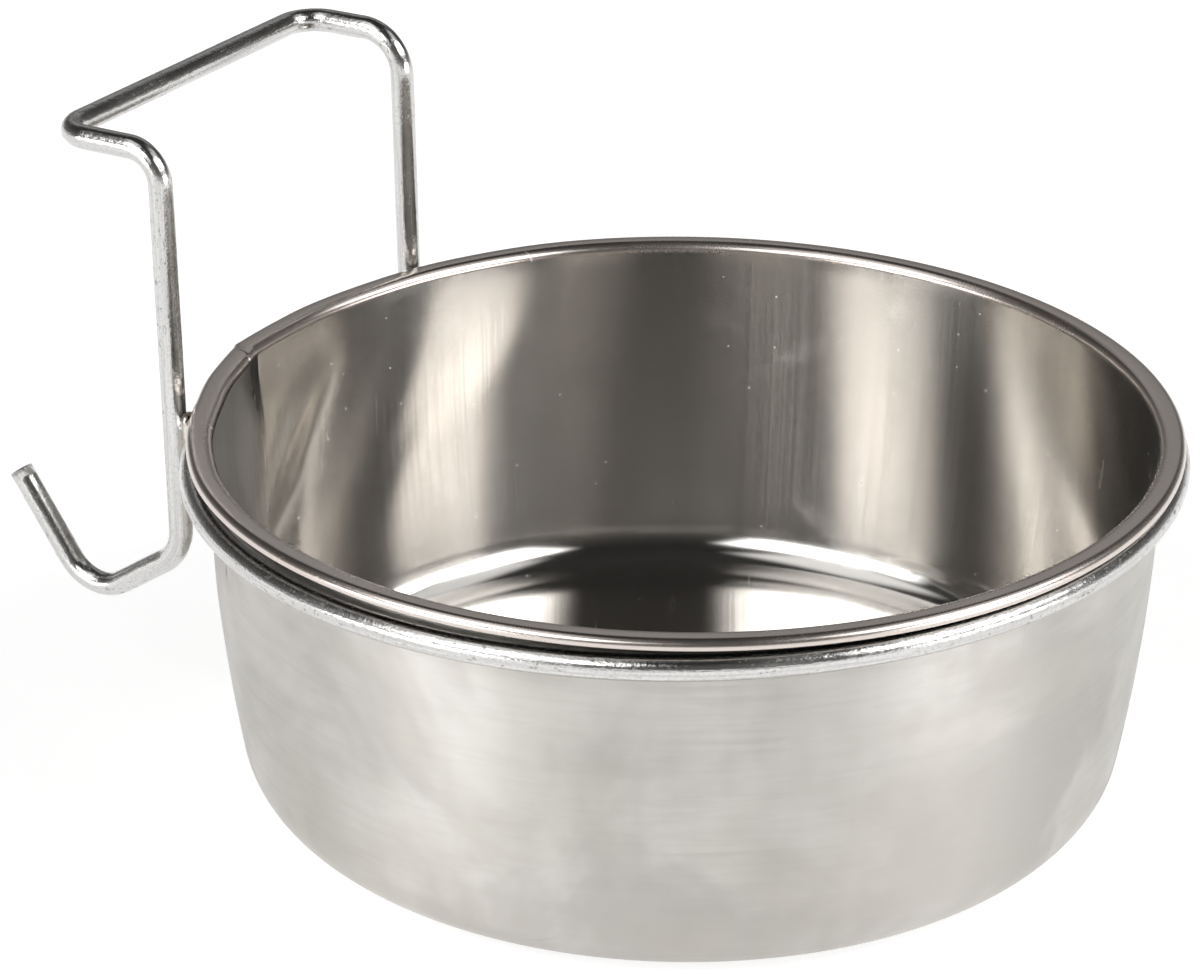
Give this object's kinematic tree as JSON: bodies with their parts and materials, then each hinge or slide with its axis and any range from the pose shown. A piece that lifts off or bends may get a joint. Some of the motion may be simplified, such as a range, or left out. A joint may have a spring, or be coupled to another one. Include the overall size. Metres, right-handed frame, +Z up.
{
  "type": "hook-on pet bowl",
  "caption": "Pressed steel pet bowl with a turned-down rim that lifts out of a welded wire ring holder with a hook for a cage wall.",
  "frame": {"origin": "centre of the bowl's flat underside, where it stands on a table", "axes": "+Z up out of the bowl, +Y towards the hook, +X to the right seen from the side away from the hook"},
  "size_m": [0.1414, 0.1673, 0.0922],
  "materials": {
    "bowl_steel": "satin outside, polished inside",
    "wire_steel": "bright plated wire",
    "weld_steel": "plated weld bead"
  },
  "bodies": {
    "holder": {"holder_ring": "wire_steel", "hook_wire": "wire_steel", "ring_weld": "weld_steel", "weld_left": "weld_steel", "weld_right": "weld_steel"},
    "bowl": {"bowl": "bowl_steel"}
  },
  "joints": [
    {"name": "bowl_lift", "type": "slide", "parent": "holder", "child": "bowl", "axis": [0, 0, 1], "range_m": [0, 0.075]}
  ]
}
